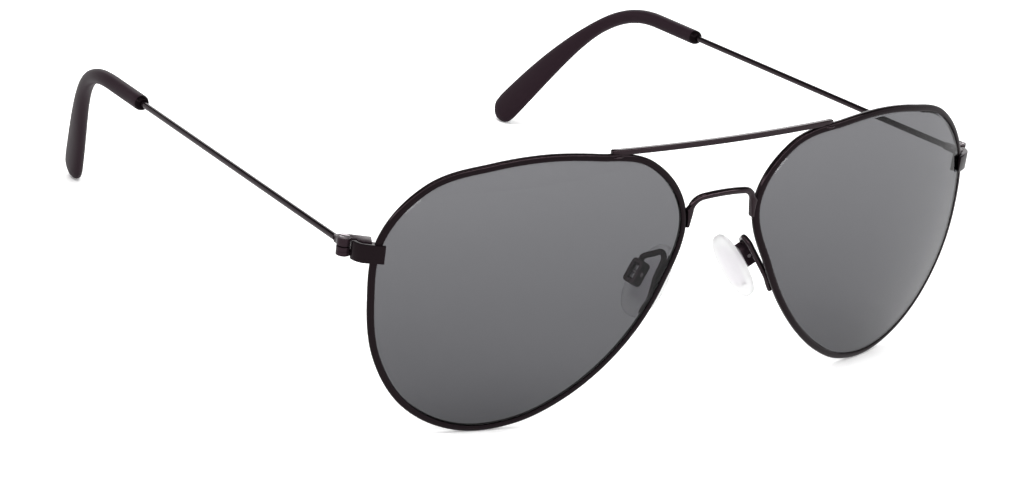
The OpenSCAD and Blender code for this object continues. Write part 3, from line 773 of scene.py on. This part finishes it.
class DressEndPieces(Operator):
    """Ease the edges of the end plates, closing blocks and hinges, and lacquer them"""

    bl_idname = "sunglasses.dress_end_pieces"
    bl_label = "End pieces and hinges"

    def execute(self, context):
        for side, _ in SIDES:
            for node in ("end_plate", "closing_block_upper", "closing_block_lower"):
                eased_copy(f"{node}_{side}", PLATE_EASE, RIM_LACQUER, "front")
            eased_copy(f"front_hinge_{side}", HINGE_EASE, HINGE_LACQUER, "front")
            eased_copy(f"temple_hinge_{side}", HINGE_EASE, HINGE_LACQUER, f"temple_{side}")
            eased_copy(f"closing_screw_{side}", SCREW_EASE, STEEL, "front")
            screw = eased_copy(f"hinge_screw_{side}", SCREW_EASE, STEEL, "front")
            self.paint_slot_shade(screw)
        return {"FINISHED"}

    def paint_slot_shade(self, screw):
        """Paints the faces in the slot of the screw's head with the dark hinge lacquer: painted shade in the
        slot.
        """
        mesh = screw.data
        # Painted shade: the slot's faces take the darker hinge lacquer as a second material
        mesh.materials.append(finish_of(HINGE_LACQUER))
        top = max(v.co.z for v in mesh.vertices)
        head = [v.co.xy for v in mesh.vertices if v.co.z > top - SLOT_DEEP]
        axis = Vector([min(p[i] for p in head) + max(p[i] for p in head) for i in (0, 1)]) / 2
        for face in mesh.polygons:
            inside = top - SLOT_DEEP < face.center.z < top - SLOT_LIP
            if inside and (face.center.xy - axis).length < SLOT_REACH:
                face.material_index = 1


# --- Operators: temples ---

# Where the wire starts from the hinge's pin, and its straight run's angles
WIRE_INBOARD = 0.42 * MM
WIRE_UP = 0.045 * MM
SHOE_REACH = 3.2 * MM
TOE_IN = 2.0
DROOP = 1.0
# The curve behind the ear: its size, the angles of its leg, and the pull of its two ends
EAR_REACH = 36 * MM
EAR_INSET = 11 * MM
LEG_DROP = 52
LEG_YAW = 22
BEND_PULL = 14 * MM
LEG_PULL = 27 * MM
# The share of that curve that the wire runs inside the tip, and the lacquer on the bare wire
WIRE_STOP = 0.846
WIRE_COAT = 0.045 * MM
RUN_STEPS = 24
EAR_STEPS = 30
WIRE_COUNT = 20


class Temple:
    """The left temple's line: a straight run, then one curve down behind the ear."""

    def __init__(self, sizes):
        hinge = next(j for j in frame["joints"] if j["name"] == "temple_left_fold")
        pivot = Vector(hinge["pos_m"])
        # The wire leaves the hinge inboard of its pin and just above its middle knuckle
        beside = turned(Vector((-WIRE_INBOARD, 0, WIRE_UP)), ("X", TILT))
        self.run = turned(Vector((0, 1, 0)), ("X", -DROOP), ("Z", TOE_IN))
        self.start = pivot + beside + self.run * SHOE_REACH
        self.bend = self.start + self.run * (sizes.straight - SHOE_REACH)
        self.leg = turned(Vector((0, 1, 0)), ("X", -LEG_DROP), ("Z", LEG_YAW))
        foot = sizes.tip_w / 2 * (1 - math.sin(math.radians(LEG_DROP)))
        self.end = Vector((self.bend.x - EAR_INSET, self.bend.y + EAR_REACH, foot))

    def ear(self, f):
        """A place f of the way along the curve behind the ear."""
        pulls = self.bend + self.run * BEND_PULL, self.end - self.leg * LEG_PULL
        return bezier(self.bend, *pulls, self.end, f)


class BuildTempleWires(Operator):
    """Draw each temple wire from its hinge, along the head and down inside the tip"""

    bl_idname = "sunglasses.build_temple_wires"
    bl_label = "Temple wires"

    def execute(self, context):
        sizes = context.scene.sunglasses_sizes
        temple = Temple(sizes)
        reach = (temple.bend - temple.start).length
        path = [temple.start + temple.run * reach * i / RUN_STEPS for i in range(RUN_STEPS)]
        path += [temple.ear(WIRE_STOP * i / EAR_STEPS) for i in range(EAR_STEPS + 1)]
        r = sizes.wire_d / 2 + WIRE_COAT
        rings = sweep(path, [superellipse(r, r, WIRE_COUNT)] * len(path), Vector((1, 0, 0)))
        add_pair("temple_wire", loft(rings), WIRE_LACQUER, TEMPLES)
        return {"FINISHED"}


# Tip's mouth, where it starts before the ear bend: (mm along it, share of its thickness), first a
# shallow recess round the wire, then the polished bevel, then the plain run
TIP_LEAD = 12.5 * MM
TIP_MOUTH = ((0.35, 0.42), (0.02, 0.44), (0.0, 0.62), (0.05, 0.7), (0.35, 0.86), (0.75, 0.97), (1.1, 1.0))
TIP_RUN = ((2.5, 1), (5, 1), (8, 1), (10.5, 1))
TIP_STEPS = 44
# Points round the tip, and how far its section goes from round (2) toward square
TIP_COUNT = 28
TIP_POWER = 2.15
# The share of the ear curve where the paddle starts, and the steps and first angle of its round end
PADDLE_FROM = 0.4
END_STEPS = 12
END_ANGLE = 14
# What is polished: faces this close to the mouth, and up to this far along
POLISH_NEAR = 1.9 * MM
POLISH_ALONG = 0.95 * MM


class BuildTempleTips(Operator):
    """Mould each temple tip: round and bevelled at the wire, a flat paddle at the end"""

    bl_idname = "sunglasses.build_temple_tips"
    bl_label = "Temple tips"

    def execute(self, context):
        sizes = context.scene.sunglasses_sizes
        temple = Temple(sizes)
        nose = temple.bend - temple.run * TIP_LEAD
        thick, round_end = sizes.tip_t / 2, sizes.tip_w / 2
        path, halves = [], []
        for along, share in TIP_MOUTH + TIP_RUN:
            path.append(nose + temple.run * along * MM)
            halves.append((thick * share, thick * share))
        straight = len(path)
        for f in (i / TIP_STEPS for i in range(TIP_STEPS - 1)):
            turn = 90 * (f - PADDLE_FROM) / (1 - PADDLE_FROM)
            paddle = math.sin(math.radians(turn)) ** 2 if turn > 0 else 0
            path.append(temple.ear(f))
            halves.append((thick + (round_end - thick) * paddle, thick))
        for i in range(1, END_STEPS + 1):
            angle = math.radians(END_ANGLE + (90 - END_ANGLE) * i / END_STEPS)
            path.append(temple.end - temple.leg * round_end * (1 - math.sin(angle)))
            halves.append((round_end * max(math.cos(angle), 0.05), thick * max(math.cos(angle) ** 0.6, 0.12)))
        rings = []
        for i, point in enumerate(path):
            ahead = (path[min(i + 1, len(path) - 1)] - path[i - 1]).normalized()
            if i < straight:
                ahead = temple.run
            side = ahead.cross(Vector((1, 0, 0))).normalized()
            up = ahead.cross(side)
            section = superellipse(*halves[i], TIP_COUNT, TIP_POWER)
            rings.append([point + a * side + b * up for a, b in section])
        satin = "satin moulded plastic"
        pair = add_pair("temple_tip", loft(rings), satin, TEMPLES, sharp=50)
        for side, sign in SIDES:
            mesh = pair[side].data
            mesh.materials.append(finish_of("polished moulded plastic"))
            mouth = Vector((sign * nose.x, nose.y, nose.z))
            for face in mesh.polygons:
                close = (face.center - mouth).length < POLISH_NEAR
                if close and face.center.y < mouth.y + POLISH_ALONG:
                    face.material_index = 1
        return {"FINISHED"}


# --- Operators: nose pads ---

# The pad box's place and angles in the front's frame, and the pad's place in the box's
BOX_AT = Vector((11.4, 5.35, -0.75)) * MM
BOX_H = 4.2 * MM
PAD_FROM_BOX = Vector((-3.1, -0.6, -0.1)) * MM
PAD_SPLAY = 33
PAD_LEAN = 6
PAD_FACE = 8
# The arm's flattened foot and its places behind the rim in degrees, the steps of the arm's line and
# of the foot's change to round wire, and the goose neck in mm
FOOT_T = 0.62 * MM
FOOT_W = 1.3 * MM
FOOT_OUT = 0.45 * MM
FOOT_GAP = 0.1 * MM
FOOT_AT = (195, 191, 187)
ARM_COUNT = 16
ARM_STEPS = 8
FOOT_STEPS = 24
ARM_LEG = ((10.6, 1.3, -0.2), (9.5, 1.7, 1.6), (8.85, 2.1, 2.75), (8.6, 3.2, 3.35), (9.35, 4.3, 2.7))


def in_box(point):
    """From the pad box's frame to the front's."""
    return BOX_AT + turned(point, ("Z", -PAD_FACE), ("X", -PAD_LEAN), ("Y", -PAD_SPLAY))


class BuildPadArms(Operator):
    """Bend each pad arm: a flattened foot behind the rim, then a goose neck to the box"""

    bl_idname = "sunglasses.build_pad_arms"
    bl_label = "Pad arms"

    def execute(self, context):
        sizes = context.scene.sunglasses_sizes
        front = Front(sizes)
        behind = sizes.rim_d / 2 + FOOT_T / 2 + FOOT_GAP
        points = [front.in_front(t, FOOT_OUT, behind) for t in FOOT_AT]
        points += [Vector(p) * MM for p in ARM_LEG]
        points += [in_box(Vector((0.4 * MM, 0, BOX_H / 2 + above))) for above in (0.7 * MM, 0)]
        path = through(points, ARM_STEPS)
        sections = []
        for i in range(len(path)):
            # From the flattened foot, whose end is rounded off, to the round wire
            f = min(i / FOOT_STEPS, 1)
            end = min(1, 0.45 + 0.55 * (i / 3) ** 0.5)
            half_t = (FOOT_T + (sizes.arm_d - FOOT_T) * f) / 2
            half_w = (FOOT_W + (sizes.arm_d - FOOT_W) * f) / 2
            sections.append(superellipse(end * half_t, end * half_w, ARM_COUNT, 2.6 - 0.6 * f))
        rings = sweep(path, sections, Vector((1, 0, 0)))
        bm = loft([[front.from_front(p) for p in ring] for ring in rings])
        add_pair("pad_arm", bm, WIRE_LACQUER, FRONT)
        return {"FINISHED"}


class DressPadBoxes(Operator):
    """Ease and lacquer the pad boxes and their screws"""

    bl_idname = "sunglasses.dress_pad_boxes"
    bl_label = "Pad boxes"

    def execute(self, context):
        for side, _ in SIDES:
            eased_copy(f"pad_box_{side}", PLATE_EASE, HINGE_LACQUER, "front")
            eased_copy(f"pad_screw_{side}", SCREW_EASE, STEEL, "front")
            eased_copy(f"pad_insert_{side}", CORE_EASE, "milky polycarbonate", f"pad_{side}")
        return {"FINISHED"}


PAD_TURNS = 72
PAD_STEPS = 32
# How much wider the pad's lower half is, and how soft its outline's edge and its crown are
PAD_BOW = 0.12
PAD_EDGE = 0.62
PAD_CROWN = 0.8


class BuildNosePads(Operator):
    """Mould each clear nose pad as a soft oval round its core"""

    bl_idname = "sunglasses.build_nose_pads"
    bl_label = "Nose pads"

    def execute(self, context):
        sizes = context.scene.sunglasses_sizes
        front = Front(sizes)
        rings = []
        for i in range(1, PAD_STEPS):
            # From the face that meets the nose, round the soft edge, to the back
            angle = math.radians(180 * i / PAD_STEPS)
            reach = math.sin(angle) ** PAD_EDGE
            crown = math.copysign(abs(math.cos(angle)) ** PAD_CROWN, math.cos(angle))
            depth = -crown * sizes.pad_t / 2
            ring = []
            for k in range(PAD_TURNS):
                a = 2 * math.pi * k / PAD_TURNS
                z = sizes.pad_len / 2 * math.cos(a) * reach
                y = sizes.pad_w / 2 * math.sin(a) * (1 - PAD_BOW * math.cos(a)) * reach
                ring.append(front.from_front(in_box(PAD_FROM_BOX + Vector((depth, y, z)))))
            rings.append(ring)
        pair = add_pair("nose_pad", loft(rings), "clear silicone", PADS, sharp=60)
        return {"FINISHED"}


# --- Placing by the photograph ---


def ray_through(camera, x, y):
    """The ray from the camera through a place in the photograph."""
    data = camera.data
    local = Vector((
        x - PHOTO_W / 2 + data.shift_x * PHOTO_LONG,
        PHOTO_H / 2 - y + data.shift_y * PHOTO_LONG,
        -PHOTO_LONG * data.lens / data.sensor_width,
    ))
    return camera.matrix_world.translation, (camera.matrix_world.to_3x3() @ local).normalized()


def seen_at(camera, point):
    """Where a place shows in the photograph's frame."""
    local = camera.matrix_world.inverted() @ point
    scale = PHOTO_LONG * camera.data.lens / camera.data.sensor_width / -local.z
    x = PHOTO_W / 2 - camera.data.shift_x * PHOTO_LONG + local.x * scale
    y = PHOTO_H / 2 + camera.data.shift_y * PHOTO_LONG - local.y * scale
    return x, y


def on_surface(camera, x, y, carriers):
    """The place and normal on the carriers that shows at x, y, or the nearest to that ray."""
    verts, faces = [], []
    for piece in carriers:
        base = len(verts)
        verts += [piece.matrix_world @ v.co for v in piece.data.vertices]
        faces += [[base + i for i in p.vertices] for p in piece.data.polygons]
    tree = BVHTree.FromPolygons(verts, faces)
    origin, direction = ray_through(camera, x, y)
    place, normal, _, _ = tree.ray_cast(origin, direction)
    if place is None:
        nearest = min(verts, key=lambda v: (v - origin).cross(direction).length)
        place, normal, _, _ = tree.find_nearest(nearest)
    return place, normal


BRAZE_HALF = 0.9 * MM
BRAZE_DEEP = 0.3 * MM
BRAZE_TALL = 0.22 * MM
BRAZE_STEPS = 8
BRAZE_COUNT = 16


class PlaceBrazing(Operator):
    """Run a small fillet of braze where each end of the brow bar meets its rim"""

    bl_idname = "sunglasses.place_brazing"
    bl_label = "Brazing"

    def execute(self, context):
        camera = context.scene.camera
        x, y, _, _ = IMAGE_POINTS["near_bar_braze"]
        rim = bpy.data.objects["rim_right_skin"]
        bar = bpy.data.objects["brow_bar_skin"]
        place, _ = on_surface(camera, x, y, [rim, bar])
        rings = []
        for i in range(BRAZE_STEPS + 1):
            s = i / BRAZE_STEPS * 2 - 1
            swell = max(0.12, (1 - s * s) ** 0.5)
            centre = Vector((-place.x + s * BRAZE_HALF, place.y, place.z))
            section = superellipse(BRAZE_DEEP * swell, BRAZE_TALL * swell, BRAZE_COUNT)
            rings.append([centre + Vector((0, a, b)) for a, b in section])
        add_pair("bar_braze", loft(rings), WIRE_LACQUER, FRONT, replace=False)
        return {"FINISHED"}


# --- Stage ---

WHITE = (1.0, 1.0, 1.0, 1.0)
# Floor: half its side, and what makes its open part overexposed, as the photograph's is, so that
# only the contact shadows stay: a glow of its own and a second matt layer
FLOOR_HALF = 1.2
FLOOR_GLOW = 0.12
FLOOR_OVER = 0.5
# The share of plain white in what lenses and lacquers show of the floor
FLOOR_MIRRORED = 0.5
# The world's strength where it lights the object; where it is seen it is plain white
WORLD_LIT = 0.5
# Dome of cards: its radius, the elevations of its rows, degrees a card, and the slit's strength
FLAG_AWAY = 2.2
FLAG_ROWS = (25, 35, 50, 65, 80, 88)
FLAG_STEP = 10
FLAG_SLIT = 8.0
# (name, place, size, power): a wide softbox overhead, which gloss doesn't mirror, one low behind
# the object that lights every upper edge, and two narrow strips that draw fine lines on the wires
LAMPS = (
    ("overhead softbox", (0.0, 0.1, 1.3), (1.4, 1.0), 8.0),
    ("rear softbox", (0.80, 1.05, 0.58), (1.3, 0.4), 3.0),
    ("overhead strip", (-0.2, -0.35, 1.1), (1.3, 0.05), 5.0),
    ("front strip", (0.25, -1.3, 0.75), (1.1, 0.05), 3.5),
)


def toward(turn, elevation):
    """The direction out from the object; a turn of 0 degrees is straight ahead of it."""
    a, e = math.radians(turn), math.radians(elevation)
    return Vector((math.sin(a) * math.cos(e), -math.cos(a) * math.cos(e), math.sin(e)))


class BuildStage(Operator):
    """Set the camera where the photograph was taken, with a pale floor and soft studio light"""

    bl_idname = "sunglasses.build_stage"
    bl_label = "Stage"

    def execute(self, context):
        scene = context.scene
        self.add_camera(scene)
        self.add_floor(scene)
        self.add_flags()
        self.add_lamps(scene)
        self.add_world(scene)
        scene.view_settings.view_transform = "Standard"
        return {"FINISHED"}

    def add_camera(self, scene):
        data = bpy.data.cameras.new("photo camera")
        data.sensor_fit = "AUTO"
        data.sensor_width = SENSOR_WIDTH
        data.lens = CAMERA_LENS
        data.clip_start = 0.01
        data.clip_end = 20
        camera = bpy.data.objects.new("photo_camera", data)
        azimuth = math.radians(CAMERA_AZIMUTH)
        back = toward(CAMERA_AZIMUTH, CAMERA_ELEVATION)
        right = Vector((math.cos(azimuth), math.sin(azimuth), 0))
        up = back.cross(right)
        roll = math.radians(CAMERA_ROLL)
        own_right = right * math.cos(roll) + up * math.sin(roll)
        own_up = up * math.cos(roll) - right * math.sin(roll)
        turn = Matrix((own_right, own_up, back)).transposed().to_4x4()
        camera.matrix_world = Matrix.Translation(CAMERA_AT) @ turn
        scene.collection.objects.link(camera)
        scene.camera = camera
        bpy.context.view_layer.update()

    def add_floor(self, scene):
        bm = bmesh.new()
        corners = ((-1, -1), (1, -1), (1, 1), (-1, 1))
        bm.faces.new([bm.verts.new((x * FLOOR_HALF, y * FLOOR_HALF, 0)) for x, y in corners])
        material = bpy.data.materials.new("pale floor")
        tree, surface = emptied(material)
        own = {"Color": rgba(scene.sunglasses_colours.floor)}
        matt = add_node(tree, "ShaderNodeBsdfDiffuse", own).outputs[0]
        over = {"Color": rgba([FLOOR_OVER] * 3)}
        extra = add_node(tree, "ShaderNodeBsdfDiffuse", over).outputs[0]
        white = add_node(tree, "ShaderNodeEmission", {"Strength": 1.0}).outputs[0]
        ray = add_node(tree, "ShaderNodeLightPath").outputs
        rays = {0: ray["Is Glossy Ray"], 1: ray["Is Transmission Ray"]}
        either = add_node(tree, "ShaderNodeMath", None, rays, operation="ADD", use_clamp=True)
        share = add_node(
            tree, "ShaderNodeMath", {1: FLOOR_MIRRORED}, {0: either.outputs[0]}, operation="MULTIPLY"
        )
        mix = "ShaderNodeMixShader"
        mirrored_floor = add_node(tree, mix, None, {0: share.outputs[0], 1: matt, 2: white})
        bright = add_node(tree, "ShaderNodeAddShader", None, {0: matt, 1: extra})
        seen = add_node(tree, mix, {0: FLOOR_GLOW}, {1: bright.outputs[0], 2: white})
        ends = {0: ray["Is Camera Ray"], 1: mirrored_floor.outputs[0], 2: seen.outputs[0]}
        tree.links.new(add_node(tree, mix, None, ends).outputs[0], surface)
        floor = new_object("floor", bm, material)
        floor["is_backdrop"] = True

    def add_flags(self):
        """Black cards overhead that only gloss mirrors, as a studio hangs round black lacquer, with a
        lit slit on the camera's side: they draw the wires' black and pale lines."""
        bm = bmesh.new()
        turns = range(0, 360, FLAG_STEP)
        grid = [
            [bm.verts.new(FLAG_AWAY * toward(CAMERA_AZIMUTH + turn, row)) for turn in turns]
            for row in FLAG_ROWS
        ]
        for row, (near, far) in enumerate(zip(grid, grid[1:])):
            for k, face in enumerate(stitched(bm, near, far)):
                camera_side = abs((k + 0.5) * FLAG_STEP - 180) > 90
                face.material_index = 1 if row == 0 and camera_side else 0
        bm.faces.new(grid[-1])
        materials = []
        for name, kind, sockets in (
            ("black card", "ShaderNodeBsdfDiffuse", {"Color": rgba(srgb("#050505"))}),
            ("lit slit", "ShaderNodeEmission", {"Strength": FLAG_SLIT}),
        ):
            material = bpy.data.materials.new(name)
            tree, surface = emptied(material)
            tree.links.new(add_node(tree, kind, sockets).outputs[0], surface)
            materials.append(material)
        flags = new_object("flags", bm, *materials)
        flags.visible_camera = False
        flags.visible_diffuse = False
        flags.visible_transmission = False
        flags.visible_shadow = False
        flags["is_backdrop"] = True

    def add_lamps(self, scene):
        for name, place, size, power in LAMPS:
            data = bpy.data.lights.new(name, "AREA")
            data.shape = "RECTANGLE"
            data.size, data.size_y = size
            data.energy = power
            lamp = bpy.data.objects.new(name, data)
            lamp.location = place
            lamp.visible_glossy = name != "overhead softbox"
            lamp.visible_transmission = False
            lamp.rotation_mode = "QUATERNION"
            lamp.rotation_quaternion = (-Vector(place)).to_track_quat("-Z", "Y")
            scene.collection.objects.link(lamp)

    def add_world(self, scene):
        world = bpy.data.worlds.new("studio")
        tree, surface = emptied(world, "ShaderNodeOutputWorld")
        ray = add_node(tree, "ShaderNodeLightPath").outputs
        sky = "ShaderNodeBackground"
        lit = add_node(tree, sky, {"Color": WHITE, "Strength": WORLD_LIT}).outputs[0]
        seen = add_node(tree, sky, {"Color": WHITE, "Strength": 1.0}).outputs[0]
        rays = {0: ray["Is Camera Ray"], 1: ray["Is Transmission Ray"]}
        either = add_node(tree, "ShaderNodeMath", None, rays, operation="ADD")
        rays = {0: either.outputs[0], 1: ray["Is Glossy Ray"]}
        shown = add_node(tree, "ShaderNodeMath", None, rays, operation="ADD", use_clamp=True)
        ends = {0: shown.outputs[0], 1: lit, 2: seen}
        tree.links.new(add_node(tree, "ShaderNodeMixShader", None, ends).outputs[0], surface)
        scene.world = world


# --- Panel and registration ---

STEPS = (
    BuildStage,
    BuildRims,
    BuildLenses,
    BuildBridge,
    BuildBrowBar,
    DressEndPieces,
    BuildTempleWires,
    BuildTempleTips,
    BuildPadArms,
    DressPadBoxes,
    BuildNosePads,
    PlaceBrazing,
)


class SunglassesPanel(Panel):
    """Lists the build steps with their sizes and colours"""

    bl_idname = "VIEW3D_PT_sunglasses"
    bl_label = "Aviator sunglasses"
    bl_space_type = "VIEW_3D"
    bl_region_type = "UI"
    bl_category = "Sunglasses"

    def draw(self, context):
        for step in STEPS:
            self.layout.operator(step.bl_idname)
        for group in (context.scene.sunglasses_sizes, context.scene.sunglasses_colours):
            column = self.layout.column()
            for name in type(group).__annotations__:
                column.prop(group, name)


CLASSES = (SunglassesSizes, SunglassesColours, *STEPS, SunglassesPanel)


def register():
    for cls in CLASSES:
        bpy.utils.register_class(cls)
    bpy.types.Scene.sunglasses_sizes = PointerProperty(type=SunglassesSizes)
    bpy.types.Scene.sunglasses_colours = PointerProperty(type=SunglassesColours)


def unregister():
    del bpy.types.Scene.sunglasses_colours
    del bpy.types.Scene.sunglasses_sizes
    for cls in reversed(CLASSES):
        bpy.utils.unregister_class(cls)


# --- Where pieces show in the photograph ---

# Through a lens the ray goes on from just behind it; a hit this close to a vertex is its own
RAY_STEP = 0.01 * MM
LENS_SKIN = 0.05 * MM
OWN_SKIN = 0.08 * MM


def showing(camera, piece):
    """Where the vertices of a piece show in the photograph's frame, seen through the lenses."""
    depsgraph = bpy.context.evaluated_depsgraph_get()
    origin = camera.matrix_world.translation
    places = []
    for vertex in piece.data.vertices:
        point = piece.matrix_world @ vertex.co
        ahead = (point - origin).normalized()
        start = origin
        while True:
            hit, where, _, _, other, _ = bpy.context.scene.ray_cast(depsgraph, start, ahead)
            if hit and other.name.startswith("lens") and (where - point).length > LENS_SKIN:
                start = where + ahead * RAY_STEP
                continue
            break
        own = hit and (where - point).length < OWN_SKIN
        if not hit or own or (where - origin).length > (point - origin).length:
            places.append(seen_at(camera, point))
    return places


def write_points():
    """Finds where the pieces named by the image points show in the photograph's frame."""
    camera = bpy.context.scene.camera
    pieces = {p.name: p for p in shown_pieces()}
    everything = [seen_at(camera, p.matrix_world @ v.co) for p in pieces.values() for v in p.data.vertices]
    for name, (x, y, piece, what) in IMAGE_POINTS.items():
        shown = everything
        if piece:
            own = pieces.get(piece) or pieces[piece + "_skin"]
            shown = showing(camera, own)
        if not shown:
            continue


def main():
    register()
    for step in STEPS:
        group, name = step.bl_idname.split(".")
        getattr(getattr(bpy.ops, group), name)()
    write_points()


if __name__ == "__main__":
    main()
